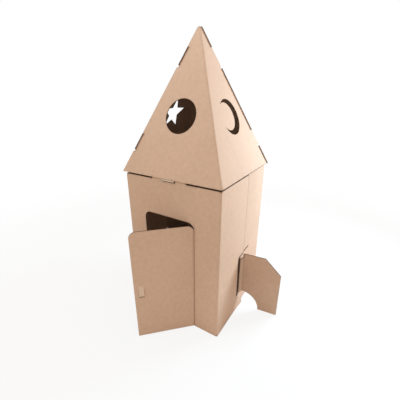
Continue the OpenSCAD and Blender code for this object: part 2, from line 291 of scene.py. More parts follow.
class StageSizes(bpy.types.PropertyGroup):
    """The studio: floor, lamps and camera."""
    floor_r: length("Floor radius", "Radius of the floor", 9.0)
    floor: colour("Floor", "Colour of the floor", (0.86, 0.86, 0.86))
    key: power("Key", "Power of the window light at the right", 50)
    ceiling: power("Ceiling", "Power of the soft light above the front", 13)
    fill: power("Fill", "Power of the soft light at the front", 5)
    room: FloatProperty(name="Room", description="Strength of the light from the room", default=0.71)
    room_tint: colour("Room tint", "Colour of the light from the room", (1.0, 0.89, 0.78))
    eye: FloatVectorProperty(name="Eye", description="Place of the camera", size=3,
                             subtype="TRANSLATION", unit="LENGTH", default=(0.8411, -1.3646, 1.3625))
    aim: FloatVectorProperty(name="Aim", description="Turn, dip and roll of the camera", size=3,
                             subtype="EULER", unit="ROTATION", default=(-0.55087, 0.38150, 0.00279))
    lens: FloatProperty(name="Lens", description="Focal length on a 36 mm sensor", default=23.494,
                        unit="CAMERA")


def fold_path(s, start, heading, folds):
    """The section of a folded board: straight lengths joined by circular folds.

    The line leaves start in the direction heading. Each fold (at, radius, turn) begins at the
    length at and turns left by turn round that radius. A point is the sum of the straight
    lengths and arcs before it. Returns the points and the unit normals on their right.
    """
    s = np.asarray(s, float)
    facing = np.full(s.shape, float(heading))
    place = np.zeros(s.shape + (2,)) + start
    begun, low, psi = 0.0, -np.inf, heading
    for at, radius, turn in (*folds, (np.inf, 1.0, 0.0)):
        run = np.clip(s, low, at) - begun
        phi = np.sign(turn) * np.clip((s - at) / radius, 0, abs(turn))
        bend = np.stack([np.sin(psi + phi) - sin(psi), cos(psi) - np.cos(psi + phi)], -1)
        place = place + run[..., None] * (cos(psi), sin(psi)) + np.sign(turn) * radius * bend
        facing = facing + phi
        low = begun = at + radius * abs(turn)
        psi += turn
    return place, np.stack([np.sin(facing), -np.cos(facing)], -1)


def arc(centre, radius, start, stop, count=12):
    """Points of a circular arc, from one angle to another in degrees."""
    a = np.radians(np.linspace(start, stop, count + 1))
    return np.stack([centre[0] + radius * np.cos(a), centre[1] + radius * np.sin(a)], -1)


def outline(*parts):
    """One closed outline from points and arcs, without doubled points."""
    line = np.concatenate([np.atleast_2d(np.asarray(p, float)) for p in parts])
    apart = np.linalg.norm(line - np.roll(line, 1, 0), axis=1) > SAME_POINT
    return line[apart]


def stepped(line, step, across=np.inf):
    """A closed outline with more points: each side is cut into equal lengths of at most step.

    A side is also cut by its run across the flutes, in lengths of at most across.
    """
    side = np.roll(line, -1, 0) - line
    count = np.ceil([np.linalg.norm(side, axis=1) / step, np.abs(side[:, 0]) / across])
    count = np.maximum(count.max(0), 1).astype(int)
    which = np.repeat(np.arange(len(line)), count)
    share = (np.arange(count.sum()) - np.repeat(np.cumsum(count) - count, count)) / count[which]
    return line[which] + share[:, None] * side[which]


def into_board(line):
    """At each point of a closed outline, the mitred direction from the cut into the board."""
    ahead = np.roll(line, -1, 0) - line
    ahead /= np.linalg.norm(ahead, axis=1)[:, None]
    left = np.stack([-ahead[:, 1], ahead[:, 0]], -1)
    both = left + np.roll(left, 1, 0)
    mitre = 2 * both / np.maximum((both ** 2).sum(1), BLUNTEST)[:, None]
    return mitre / np.maximum(np.linalg.norm(mitre, axis=1) / MITRE_LIMIT, 1)[:, None]


def from_outline(points, loops):
    """Signed distance of flat points from the outlines, above nothing inside the board.

    A point is inside where a level line from it crosses the outlines an odd number of times.
    """
    a = np.concatenate(loops)
    b = np.concatenate([np.roll(line, -1, 0) for line in loops])
    side = b - a
    signed = []
    for some in np.array_split(points, max(1, len(points) // AT_ONCE)):
        apart = some[:, None] - a
        t = np.clip((apart * side).sum(-1) / (side ** 2).sum(-1), 0, 1)
        gap = np.linalg.norm(apart - t[..., None] * side, axis=-1).min(1)
        x, y = some[:, None, 0], some[:, None, 1]
        spans = (a[:, 1] > y) != (b[:, 1] > y)
        level = a[:, 0] + (y - a[:, 1]) * side[:, 0] / np.where(side[:, 1] == 0, 1, side[:, 1])
        odd = (spans & (x < level)).sum(1) % 2
        signed.append(np.where(odd, gap, -gap))
    return np.concatenate(signed)


def following(loops):
    """For outlines laid end to end, the number of the point after each round its own outline."""
    count = np.array([len(line) for line in loops])
    after = np.arange(1, count.sum() + 1)
    after[np.cumsum(count) - 1] -= count
    return after


def trimmed_grid(loops, columns, rows, extra, beside, width):
    """The flat cut as triangles: a grid of columns and rows trimmed to the outlines.

    The outlines are kept as sides and a row of points runs beside them at one width. Grid points
    nearer than that row are left out, and the rest is joined by Delaunay's rule. Returns the points,
    the outlines first, the triangles and the number of the outline point that follows each.
    """
    grid = np.stack(np.meshgrid(columns, rows), -1).reshape(-1, 2)
    grid = np.concatenate([grid, extra])
    grid = grid[from_outline(grid, loops) > GRID_FROM * width]
    beside = beside[from_outline(beside, loops) > BESIDE_FROM * width]
    rim = np.concatenate(loops)
    points = np.concatenate([rim, beside, grid])
    after = following(loops)
    sides = np.stack([np.arange(len(rim)), after], -1)
    made, _, faces, _, _, _ = delaunay_2d_cdt(
        list(map(Vector, points.tolist())), sides.tolist(), [], 0, JOINED)
    if len(made) != len(points):
        raise RuntimeError("two sides of a flat outline cross")
    tris = np.array(faces)
    tris = tris[from_outline(points[tris].mean(1), loops) > 0]
    along, over = np.moveaxis(points[tris[:, 1:]] - points[tris[:, :1]], 1, 0)
    back = along[:, 0] * over[:, 1] < along[:, 1] * over[:, 0]
    tris[back] = tris[back][:, ::-1]
    return points, tris, after


def close_to(lines, spread=SCORE_LINES):
    """Grid lines at and on both sides of each fold line."""
    off = np.concatenate([np.array(spread), -np.array(spread[1:])])
    return (np.asarray(lines, float)[:, None] + off).ravel()


def graded(low, high, step, *more):
    """Grid lines between two ends at about one step, with more lines where the shape needs them."""
    even = np.linspace(low, high, int(np.ceil((high - low) / step)) + 1)
    extra = np.concatenate([np.zeros(0), *map(np.ravel, more)])
    far = np.abs(even[:, None] - extra).min(1, initial=np.inf) > step / 3
    lines = np.unique(np.round(np.concatenate([even[far], extra]), DECIMALS))
    return lines[(lines >= low) & (lines <= high)]


def folded_board(name, board, loops, columns, rows, place, crease, extra=NO_POINTS, rubbed_and_shaded=None):
    """A piece of corrugated board, cut flat and then folded.

    The two faces are the trimmed grid at no depth and at full depth. The cut edge carries a
    profile round the outlines: rounded liner, a recess, the other liner. The fluted paper runs in
    the recess as a ribbon whose depth is a sine of the way across the flutes. place folds all of it:
    it takes flat points and depths and gives points in space. crease gives how crushed the paper is;
    on the seam and the slits it gives painted shade, and below zero a painted highlight. The cut is
    painted darker towards the flutes, partly its own colour and partly painted shade. The first so
    many outlines as the last argument says, or else all, get a darker band along the edge, partly
    wear and partly painted shade, and the full dark on their cut; the others get a share of it and
    read paler.
    """
    walk = [stepped(line, board.step) for line in loops]
    inward = np.concatenate([into_board(line) for line in walk])
    shrunk = [line + board.rim * into_board(line) for line in walk]
    rim = np.concatenate(walk)
    beside = rim + board.worn * inward
    flat, tris, after = trimmed_grid(shrunk, columns, rows, extra, beside, board.worn)
    n, m = len(flat), len(rim)
    lip, deep, thick = board.liner, board.recess, board.thick
    half = np.array([[0, board.rim], [0, lip], [deep, UNDERCUT * lip]])
    profile = np.concatenate([half, (half * (1, -1) + (0, thick))[::-1]])
    core = np.array([*EDGE_DARK, *EDGE_DARK[::-1]])
    handled = sum(len(line) for line in walk[:rubbed_and_shaded])
    around = np.arange(m)
    open_cut = np.where(around < handled, 1.0, LIGHT_CUT_SHARE)
    edge = rim + profile[:, None, :1] * inward
    bands = [around, *(2 * n + k * m + around for k in range(len(profile))), n + around]
    strip = np.concatenate([np.stack([a, b, b[after], a[after]], -1)
                            for a, b in zip(bands, bands[1:])])

    fine = [stepped(line, board.step, board.pitch / WAVE_PARTS) for line in loops]
    ring = np.concatenate(fine)
    ring_in = np.concatenate([into_board(line) for line in fine])
    swing = (thick - 2 * lip - board.medium) / 2
    wave = thick / 2 + swing * np.sin(2 * pi * ring[:, 0] / board.pitch)
    tube = np.array([[RIBBON_BACK, -0.5], [RIBBON_BACK, 0.5], [deep, 0.5], [deep, -0.5]])
    ribbon = ring + tube[:, None, :1] * ring_in
    first = 2 * n + len(profile) * m
    on = following(fine)
    turn = [first + k * len(ring) + np.arange(len(ring)) for k in range(len(tube))]
    tubes = np.concatenate([np.stack([a, a[on], b[on], b], -1)
                            for a, b in zip(turn, turn[1:] + turn[:1])])

    everywhere = np.concatenate([flat, flat, edge.reshape(-1, 2), ribbon.reshape(-1, 2)])
    depth = np.concatenate([np.zeros(n), np.full(n, thick), np.repeat(profile[:, 1], m),
                            (wave + tube[:, 1:] * board.medium).ravel()])
    # Cut edges are painted darker towards the flutes: partly their own colour, partly painted shade.
    dark = np.concatenate([np.zeros(2 * n), (core[:, None] * open_cut).ravel(),
                           np.repeat(RIBBON_DARK, len(ring))])
    worn = np.zeros(len(dark))
    worn[:handled] = worn[n:n + handled] = 1
    return solid(name, place(everywhere, depth), [tris, tris[:, ::-1] + n, strip, tubes], everywhere,
                 {"core": dark, "crease": crease(everywhere) * (dark == 0), "worn": worn,
                  "inside": depth / thick})


def solid(name, points, faces, flat, values):
    """A mesh object at the origin from arrays of points and faces, with its flat map and values."""
    mesh = bpy.data.meshes.new(name)
    corners = np.concatenate([f.ravel() for f in faces])
    sizes = np.concatenate([np.full(len(f), f.shape[1]) for f in faces])
    mesh.vertices.add(len(points))
    mesh.vertices.foreach_set("co", points.astype(np.float32).ravel())
    mesh.loops.add(len(corners))
    mesh.loops.foreach_set("vertex_index", corners.astype(np.int32))
    mesh.polygons.add(len(sizes))
    mesh.polygons.foreach_set("loop_start", (np.cumsum(sizes) - sizes).astype(np.int32))
    layer = mesh.uv_layers.new(name=FLAT_MAP)
    layer.uv.foreach_set("vector", flat[corners].astype(np.float32).ravel())
    for key, value in values.items():
        held = mesh.attributes.new(key, "FLOAT", "POINT")
        held.data.foreach_set("value", value.astype(np.float32))
    mesh.update(calc_edges=True)
    if mesh.validate():
        raise RuntimeError(f"{name} has faces that can't be drawn")
    mesh.shade_smooth()
    mesh.set_sharp_from_angle(angle=SHARP_FROM)
    made = bpy.data.objects.new(name, mesh)
    bpy.context.scene.collection.objects.link(made)
    return made


def ring_faces(rings, count):
    """Four-sided faces between closed rings of count points that are laid one after the other."""
    at = np.arange((rings - 1) * count)
    after = at + 1 - count * (at % count == count - 1)
    return np.stack([at, after, after + count, at + count], -1)


def near(x, lines, width=SCORE_W):
    """One on a fold line, falling to nothing within a few widths of it."""
    return np.exp(-(np.abs(x[..., None] - np.asarray(lines, float)).min(-1) / width) ** 2)


def bellied(points, tower, roof, bow):
    """Lets the roof faces, the rear wall and the tops of the side walls belly out in their middles.

    Each side moves outwards by bow times a parabola across it and a sine up it.
    """
    x, y, z = points.T
    wall = z < roof.base_z
    up = np.clip((z - roof.base_z) / (roof.peak - roof.base_z), 0, 1)
    up = np.where(wall, np.clip((z - tower.slit_z) / (roof.base_z - tower.slit_z), 0, 1), up)
    half = np.where(wall, tower.half, np.maximum(roof.half * (1 - up), NARROWEST))
    across = np.clip(1 - (np.stack([y, x]) / half) ** 2, 0, 1)
    out = bow * np.sin(pi * up) * across * np.clip(np.stack([x, y]) / half, -1, 1)
    return np.stack([x + out[0], y + out[1] * ~(wall & (y < 0)), z], -1)


def sprung(y, z, tower):
    """How far the lower part of an outer arm springs out.

    A power of the way back along the arm, fading up its height; behind the slot only the foot moves.
    """
    back = np.clip((y + SPRING_AHEAD) / (SPRING_AHEAD + tower.seam), 0, 1) ** SPRING_POWER
    foot = np.clip(1 - z / tower.slot_z, 0, 1)
    ahead = np.clip(1 - z / SPRING_TOP, 0, 1)
    strip = np.clip((y + tower.slot_front) / tower.slot_w, 0, 1)
    return back * (tower.flare * foot + tower.spread * ((1 - strip) * ahead + strip * foot))


def turned(points, half_turns):
    """Points turned about the upright axis by so many half turns."""
    sign = (-1) ** half_turns
    return points * (sign, sign, 1)


class FlatWall:
    """The plan and the lengths of a wall sheet, unrolled along its outer face."""

    def __init__(self, board, tower, roof):
        """The sheet starts at the edge of its inner arm, which lies one ply further in."""
        out, ply = board.fold_r + board.thick, board.thick + board.gap
        self.bend = bend = pi / 2 * out
        self.arm = arm = tower.half - out + tower.seam
        front = 2 * tower.half - ply - 2 * out
        self.middle = arm + bend + tower.half - ply - out
        self.end = 2 * (arm + bend) + front
        self.start = (ply - tower.half, tower.seam)
        self.turns = [(arm, out, pi / 2), (arm + bend + front, out, pi / 2)]
        self.tilt = tilt = atan((roof.peak - roof.base_z) / roof.half)
        lean = pi / 2 - tilt
        setback = out * tan(lean / 2)
        eave = roof.half - tower.half
        self.fold_z = roof.base_z - ply * cos(tilt) + (eave - ply * sin(tilt)) * tan(tilt)
        self.tab_fold = (self.fold_z - setback, out, lean)
        self.tab_end = self.fold_z - setback + out * lean
        below = roof.base_z - self.fold_z + setback
        self.tongue_bend = (eave + out) * cos(tilt) - below * sin(tilt) + tower.tongue_drop
        self.tongue_end = self.tab_end - self.tongue_bend - tower.tongue_l
        self.seam = tower.seam

    def outer(self, y):
        """Flat place on the outer arm of a point at y along the side wall."""
        return self.end - self.seam + y

    def inner(self, y):
        """Flat place on the inner arm of a point at y along the side wall."""
        return self.seam - y


def flap_cut(x, half, kerf, low, foot, top):
    """The cut round a flap that hangs from top to foot, with an opening below it down to low."""
    out = half + kerf
    return np.array([(x - out, low), (x - out, top), (x - half, top), (x - half, foot),
                     (x + half, foot), (x + half, top), (x + out, top), (x + out, low)])


def within(at, x, half, low, high):
    """True for flat points in a box about x."""
    return (np.abs(at[:, 0] - x) < half) & (at[:, 1] > low) & (at[:, 1] < high)


def wall_loops(flat, tower, door, doorway):
    """Outlines of a wall sheet laid flat.

    The first is its edge with doorway, tab, slot and slits, the second the cut round the tongue.
    """
    top, mid = tower.wall_h, flat.middle
    foot = [(0, 0)]
    if doorway:
        left, right = mid - door.left, mid + door.hinge + door.gap / 2
        r, spring = door.corner, door.top - door.corner
        foot += [(left, 0), arc((left + r, spring), r, 180, 90), arc((right - r, spring), r, 90, 0),
                 (right, 0)]
    low = tower.slit_z - tower.slit_w
    front, back = flat.outer(-tower.slot_front), flat.outer(tower.slot_w - tower.slot_front)
    inside = tower.slot_r / 2
    slot = [(flat.end, low), arc((back + inside, low - inside), inside, 90, 180),
            (back, tower.slot_z), (front, tower.slot_z),
            arc((front + tower.slot_r, tower.slit_z - tower.slot_r), tower.slot_r, 180, 90),
            (flat.end, tower.slit_z)]
    tab_top, w = flat.tab_end + tower.tab_l, tower.tab_w / 2
    tab = [(mid + w, top), (mid + w, tab_top), (mid - w, tab_top), (mid - w, top)]
    slit, cut = flat.inner(-tower.slit_back), flat.inner(-tower.slot_back)
    edge = outline(*foot, (flat.end, 0), *slot, (flat.end, top), *tab, (0, top),
                   (0, tower.slit_z), (slit, tower.slit_z), (slit, low), (cut, low),
                   (cut, tower.slot_z), (0, tower.slot_z))
    foot_z = flat.fold_z - flat.tongue_bend - tower.tongue_l - tower.kerf
    return [edge, flap_cut(mid, tower.tongue_w / 2, tower.kerf, foot_z, flat.tongue_end, flat.tab_end)]


def wall_sheet(name, board, tower, door, roof, doorway, half_turns):
    """A wall sheet folded to a U, with its lock tab laid under the roof and its tongue bent out."""
    flat = FlatWall(board, tower, roof)
    tab_start, _ = fold_path(np.array([flat.tab_end]), (0, 0), pi / 2, [flat.tab_fold])
    tongue_fold = (flat.tongue_bend, TONGUE_R, flat.tilt - tower.tongue_lean)
    hinge = flat.middle + door.hinge + door.gap / 2
    folds = [flat.arm, flat.arm + flat.bend, flat.end - flat.arm - flat.bend, flat.end - flat.arm]
    slit = tower.slit_z - tower.slit_w / 2

    def on_tongue(at):
        """True for flat points of the tongue."""
        return within(at, flat.middle, tower.tongue_w / 2 + tower.kerf / 2,
                      flat.tongue_end - tower.kerf / 4, flat.tab_end)

    def place(at, depth):
        """Folds the plan round the corners and the section over the tab fold, and bends the tongue."""
        plan, out = fold_path(at[:, 0], flat.start, -pi / 2, flat.turns)
        rise, lean = fold_path(at[:, 1], (0, 0), pi / 2, [flat.tab_fold])
        hook, under = fold_path(flat.tab_end - at[:, 1], tab_start[0], -flat.tilt, [tongue_fold])
        deep = depth[:, None]
        rise = np.where(on_tongue(at)[:, None], hook + deep * under, rise - deep * lean)
        points = np.concatenate([plan + out * rise[:, :1], rise[:, 1:]], -1)
        loose = sprung(points[:, 1], points[:, 2], tower)
        points[:, 0] += np.where(at[:, 0] > flat.end - flat.arm, loose, 0)
        return bellied(turned(points, half_turns), tower, roof, board.bow)

    def crease(at):
        """Crushed along the folds and the hinge; painted shade along the slits and the seam; a painted
        highlight on the tongue.
        """
        x, z = at.T
        tab = near(z, [flat.fold_z]) * (np.abs(x - flat.middle) < tower.tab_w)
        fold = CORNER_CRUSH * near(x, folds, FOLD_W)
        line = near(x, [hinge]) * (z < door.top) * doorway
        # Painted shade on the lips of the slits.
        slit_shade = near(z, [slit], SLIT_W) * (
            (x > flat.outer(-tower.slot_front)) | (x < flat.inner(-tower.slit_back)))
        # Painted shadow line down the end of the outer arm, above the slit.
        end = SEAM_SHADE * near(x, [flat.end], SEAM_W) * (z > tower.slit_z)
        return np.where(on_tongue(at), TONGUE_HIGHLIGHT, np.max([tab, fold, line, slit_shade, end], 0))

    bend = flat.bend * np.arange(1, CORNER_PARTS) / CORNER_PARTS
    columns = graded(0, flat.end, board.step, close_to(folds, CORNER_LINES),
                     flat.arm + bend, flat.end - flat.arm - bend,
                     close_to([hinge] if doorway else [flat.middle]), close_to([flat.end], SEAM_LINES))
    rows = graded(0, flat.tab_end + tower.tab_l, board.step, close_to([flat.fold_z], TAB_LINES),
                  close_to([slit], SLIT_LINES), flat.tab_end - flat.tongue_bend - TONGUE_LINES)
    loops = wall_loops(flat, tower, door, doorway)
    return folded_board(name, board, loops, columns, rows, place, crease, rubbed_and_shaded=1)


def door_leaf(name, board, tower, door):
    """The door: a flat leaf turned about its hinge line, with the latch flap pressed out of it."""
    free = door.left + door.hinge - tower.kerf
    top, r = door.top - door.drop, door.corner - tower.kerf
    right = -door.gap / 2
    edge = outline((-free, door.lift), (right, door.lift), arc((right - r, top - r), r, 0, 90),
                   arc((r - free, top - r), r, 90, 180))
    mid, w, k = door.latch_in - free, door.latch_w / 2, door.latch_kerf
    z0, z1 = door.latch_z, door.latch_z + door.latch_h
    kerf = flap_cut(mid, w, k, z0 - door.latch_slot, z0, z1)
    along = np.array([cos(door.open), sin(door.open)])
    out = np.array([sin(door.open), -cos(door.open)])

    def on_flap(at):
        """True for flat points of the latch flap."""
        return within(at, mid, w + k / 2, z0 - k / 2, z1)

    def place(at, depth):
        """Presses the flap out round its upper fold, then turns the leaf about the hinge."""
        x, z = at.T
        flap = on_flap(at)
        down = np.where(flap, z1 - z, 0)
        swing = np.where(flap, door.latch_out, 0)
        reach = down * np.sin(swing) - depth * np.cos(swing)
        high = z + down * (1 - np.cos(swing)) - depth * np.sin(swing)
        plan = (door.hinge, -tower.half) + x[:, None] * along + reach[:, None] * out
        return np.concatenate([plan, high[:, None]], -1)

    def crease(at):
        """Crushed beside the hinge; the flap carries a painted highlight."""
        return np.where(on_flap(at), FLAP_HIGHLIGHT, near(at[:, 0], [right]))

    wide, high = LATCH_PARTS
    columns = graded(-free, right, board.step, close_to([right]),
                     np.linspace(mid - w, mid + w, wide + 1))
    rows = graded(door.lift, top, board.step, close_to([z1], LATCH_LINES),
                  np.linspace(z0, z1, high + 1))
    return folded_board(name, board, [edge, kerf], columns, rows, place, crease, rubbed_and_shaded=1)


def hinge_crease(name, board, tower, door):
    """The outer liner that runs on through the door hinge: a thin band along the crease.

    Its section is a short fold with a leg under the liner of the wall and one under that of the
    leaf, carried straight up the hinge line.
    """
    reach = BAND_REACH * board.recess
    s = np.linspace(-reach, reach, 2 * BAND_HALF + 1)
    bend = BAND_BEND * reach
    path, right = fold_path(s, (0, 0), door.open, [(-bend, 2 * bend / door.open, -door.open)])
    face, back = (path - depth * board.liner * right for depth in BAND_DEPTHS)
    plan = np.concatenate([face, back[::-1]]) - path[BAND_HALF] + (door.hinge, -tower.half)
    high = np.linspace(door.lift + BAND_LIFT, door.top - door.corner - tower.kerf, BAND_RINGS)
    k = len(plan)
    up = np.repeat(high, k)
    points = np.concatenate([np.tile(plan, (len(high), 1)), up[:, None]], -1)
    step = np.arange(2 * BAND_HALF)
    caps = np.stack([step, step + 1, k - 2 - step, k - 1 - step], -1)
    faces = [ring_faces(len(high), k), caps[:, ::-1], caps + len(points) - k]
    flat = np.stack([np.tile(np.r_[s, s[::-1]], len(high)), up], -1)
    return solid(name, points, faces, flat, {"core": 0 * up, "crease": np.ones(len(up))})


class FlatRoof:
    """A roof sheet laid flat: its fold up the hip is the line across = 0, one face on each side."""

    def __init__(self, board, roof):
        """Angles and lengths from the base half width and the rise."""
        self.rise = roof.peak - roof.base_z
        self.slope = np.hypot(roof.half, self.rise)
        self.hip = np.hypot(roof.half, self.slope)
        self.bend = np.arccos((roof.half / self.slope) ** 2)
        self.fold_out = board.fold_r + board.thick
        self.setback = self.fold_out * tan(self.bend / 2)
        self.joint = board.thick / sin(self.bend) + board.gap
        self.half = roof.half
        self.up = np.array([-roof.half, self.slope]) / self.hip
        self.into = np.array([-self.up[1], self.up[0]])

    def lay(self, points, side):
        """Flat places of points of a face, given across it and up its slope.

        side is -1 for the face left of the fold and 1 for the other, whose fold is its left hip.
        """
        at = np.atleast_2d(points) * (-side, 1) - (self.half, 0)
        across = at @ self.into - self.setback + self.bend * self.fold_out / 2
        return np.stack([side * across, at @ self.up], -1)

    def along_hip(self, side, up, into):
        """Flat place by the way up the free hip of a face and into the face from it."""
        at = np.array([self.half, 0]) + up * self.up + into * self.into
        return self.lay(at * (side, 1), side)[0]

    def teeth(self, side, low, high, base, tip):
        """Corners of fingers or notches down the free hip: each runs from base to tip and back."""
        return [self.along_hip(side, up, into) for a, b in zip(low, high)
                for up, into in ((a, base), (a, tip), (b, tip), (b, base))]


def roof_window(kind, roof):
    """Outline of a window across its face and up the slope, clockwise, or nothing for a plain face.

    The crescent is the arc of its disc outside the hollowing disc and that disc's arc inside it; the
    star's radius changes from point to corner every tenth of a turn.
    """
    if kind == "round":
        return arc((0, roof.window_up), roof.round_r, 360, 0, ROUND_PARTS)[:-1]
    if kind == "crescent":
        apart = np.hypot(roof.bite_in, roof.bite_up)
        turn = np.degrees(np.arctan2(-roof.bite_up, roof.bite_in))
        x = (roof.moon_r ** 2 - roof.bite_r ** 2 + apart ** 2) / (-2 * apart)
        tip = np.sqrt(roof.moon_r ** 2 - x ** 2)
        far = np.degrees(np.arctan2(tip, x))
        close = np.degrees(np.arctan2(tip, x + apart))
        return outline(arc((0, roof.moon_up), roof.moon_r, turn + far, turn - far, MOON_PARTS),
                       arc((-roof.bite_in, roof.moon_up + roof.bite_up), roof.bite_r,
                           turn - close, turn + close, BITE_PARTS))
    if kind == "star":
        corner = np.arange(2 * STAR_POINTS)
        a = np.radians(180 / STAR_POINTS * corner)
        r = np.where(corner % 2, roof.star_in, roof.star_r)
        return np.stack([r * np.sin(a), roof.window_up + r * np.cos(a)], -1)
    return None


def roof_sheet(name, board, tower, roof, kinds, half_turns, dent):
    """A roof sheet folded up one hip: notches down its left free hip, fingers down its right one."""
    flat = FlatRoof(board, roof)
    over = roof.hip_over
    foot = flat.setback * flat.half / flat.slope
    mid = flat.bend * flat.fold_out / 2
    low = np.array([roof.finger_low, roof.finger_high])
    high = low + roof.finger_l
    start = flat.joint / np.tan(np.arctan2(flat.slope, flat.half))
    right = flat.teeth(1, low, high, flat.joint, -roof.finger_out)
    left = flat.teeth(-1, low - roof.slack, high + tower.kerf, -over, flat.joint)
    apex = 2 * np.arctan2(flat.half, flat.slope)
    tip = flat.hip - flat.setback / tan(apex)
    crown = [(mid, tip - flat.joint / sin(apex)), (-mid, tip), (-mid - over / cos(apex), tip)]
    corner = (-flat.half - over * flat.hip / flat.slope, 0)
    edge = outline(flat.lay([corner], -1), (-mid, foot), (mid, foot),
                   flat.along_hip(1, start, flat.joint), *right, *crown, *left[::-1])
    windows = [(roof_window(kind, roof), side) for kind, side in zip(kinds, (-1, 1))]
    loops = [edge, *(flat.lay(line, side) for line, side in windows if line is not None)]

    foot_at = np.array([flat.half, -flat.half, roof.base_z])
    up = np.array([-flat.half, flat.half, flat.rise]) / flat.hip
    aside = np.array([1, 1, 0]) / np.sqrt(2)
    out = np.cross(aside, up)
    centre = -flat.fold_out / cos(flat.bend / 2)
    fold = (0, 0), pi / 2 - flat.bend / 2, [(-mid, flat.fold_out, flat.bend)]
    half_way, _ = fold_path(np.zeros(1), *fold)

    def place(at, depth):
        """Folds the sheet round the hip and leans it so that the hip climbs to the peak."""
        path, normal = fold_path(at[:, 0], *fold)
        section = path - half_way + (centre + flat.fold_out, 0) - depth[:, None] * normal
        points = foot_at + at[:, 1:] * up + section[:, :1] * out + section[:, 1:] * aside
        return bellied(turned(points, half_turns), tower, roof, board.bow)

    a, b = flat.lay(DENT, 1)
    way = (b - a) / np.linalg.norm(b - a)

    def crease(at):
        """Crushed a little along the fold, with one faint dent below the crescent."""
        bent = HIP_CRUSH * near(at[:, 0], [-mid, mid], FOLD_W)
        if not dent:
            return bent
        t = np.clip((at - a) @ way, 0, np.linalg.norm(b - a))
        apart = np.linalg.norm(at - a - t[:, None] * way, axis=1)
        return np.maximum(bent, DENT_CRUSH * np.exp(-(apart / DENT_W) ** 2))

    extra = NO_POINTS
    if dent:
        t, w = np.meshgrid(np.linspace(0, 1, DENT_PARTS + 1), DENT_LINES)
        extra = a + t.reshape(-1, 1) * (b - a) + w.reshape(-1, 1) * (-way[1], way[0])
    least, most = edge.min(0), edge.max(0)
    columns = graded(least[0], most[0], board.step, mid * np.linspace(-1, 1, HIP_PARTS + 1),
                     close_to([-mid, mid], HIP_LINES))
    rows = graded(least[1], most[1], board.step)
    return folded_board(name, board, loops, columns, rows, place, crease, extra)


def fin_board(name, board, tower, fin, half_turns):
    """A fin: a strip beside the wall, one fold and a plate with an arch under it."""
    start = np.array([board.thick / 2 + fin.strip_gap, tower.slot_w - tower.slot_front])
    run = (fin.stand, fin.back) - start
    heading = np.arctan2(run[1], run[0])
    turn = fin.sweep - heading
    radius = board.fold_r + board.thick / 2
    setback = radius * tan(abs(turn) / 2)
    root = np.hypot(*run) - setback
    bend = radius * abs(turn)
    at_x = root + bend - setback

    def out(x):
        """Flat place on the plate of a point at x from the wall."""
        return at_x + (x - fin.stand) / cos(fin.sweep)

    z0, z1 = fin.strip_z, fin.strip_z + fin.strip_h
    a = np.linspace(np.arccos((fin.stand - fin.arch_in) / fin.arch_r), 0, ARCH_PARTS + 1)
    arch = np.stack([out(fin.arch_in + fin.arch_r * np.cos(a)), fin.arch_r * np.sin(a)], -1)
    edge = outline((0, z0), (root, z0), arch, (out(fin.reach), 0), (out(fin.reach), fin.corner_z),
                   (out(fin.top_w), fin.top), (root, fin.top), (root, z1), (0, z1))

    def place(at, depth):
        """Bends the middle of the board along its plan and lays the depth to both sides of it."""
        plan, right = fold_path(at[:, 0], start + (tower.half, 0), heading, [(root, radius, turn)])
        plan = plan - (depth - board.thick / 2)[:, None] * right
        return turned(np.concatenate([plan, at[:, 1:]], -1), half_turns)

    def crease(at):
        """Crushed along the upright fold."""
        return near(at[:, 0], [root + bend / 2])

    step = FIN_STEP * board.step
    columns = graded(0, out(fin.reach), step, root + bend * np.linspace(0, 1, CORNER_PARTS + 1),
                     close_to([root + bend / 2], FIN_LINES))
    rows = graded(0, fin.top, step)
    return folded_board(name, board, [edge], columns, rows, place, crease)


class Nodes:
    """The nodes of a material or a world; each call adds one and gives its outputs or its result."""

    def __init__(self, owner):
        """Clears the nodes of the owner."""
        owner.use_nodes = True
        self.tree = owner.node_tree
        self.tree.nodes.clear()

    def add(self, kind, sockets=(), **options):
        """A node with its options; sockets gives links or values, in order or by number or name."""
        new = self.tree.nodes.new("ShaderNode" + kind)
        for key, value in options.items():
            setattr(new, key, value)
        for key, value in sockets.items() if isinstance(sockets, dict) else enumerate(sockets):
            if isinstance(value, bpy.types.NodeSocket):
                self.tree.links.new(value, new.inputs[key])
            else:
                new.inputs[key].default_value = (*value, 1) if isinstance(value, Color) else value
        return new.outputs

    def maths(self, operation, *values):
        """One step of arithmetic."""
        return self.add("Math", values, operation=operation)[0]

    def span(self, value, *ranges, **options):
        """A value stretched from one range to another, each given as two ends."""
        return self.add("MapRange", (value, *ranges), **options)["Result"]

    def mixed(self, share, a, b, blend="MIX"):
        """Mix of two colours by a share."""
        sockets = {MIX_SHARE: share, MIX_A: a, MIX_B: b}
        return self.add("Mix", sockets, data_type="RGBA", blend_type=blend)[MIX_OUT]

    def noise(self, spot, scale, detail, rough):
        """A noise over a place."""
        sockets = {"Vector": spot, "Scale": scale, "Detail": detail, "Roughness": rough}
        return self.add("TexNoise", sockets)["Fac"]

    def noted(self, key):
        """A value that the mesh carries."""
        return self.add("Attribute", attribute_name=key)["Fac"]

    def seen_as_white(self):
        """One for rays that see the background: camera, gloss and glass."""
        path = self.add("LightPath")
        seen = self.maths("MAXIMUM", path["Is Camera Ray"], path["Is Glossy Ray"])
        return self.maths("MAXIMUM", seen, path["Is Transmission Ray"])


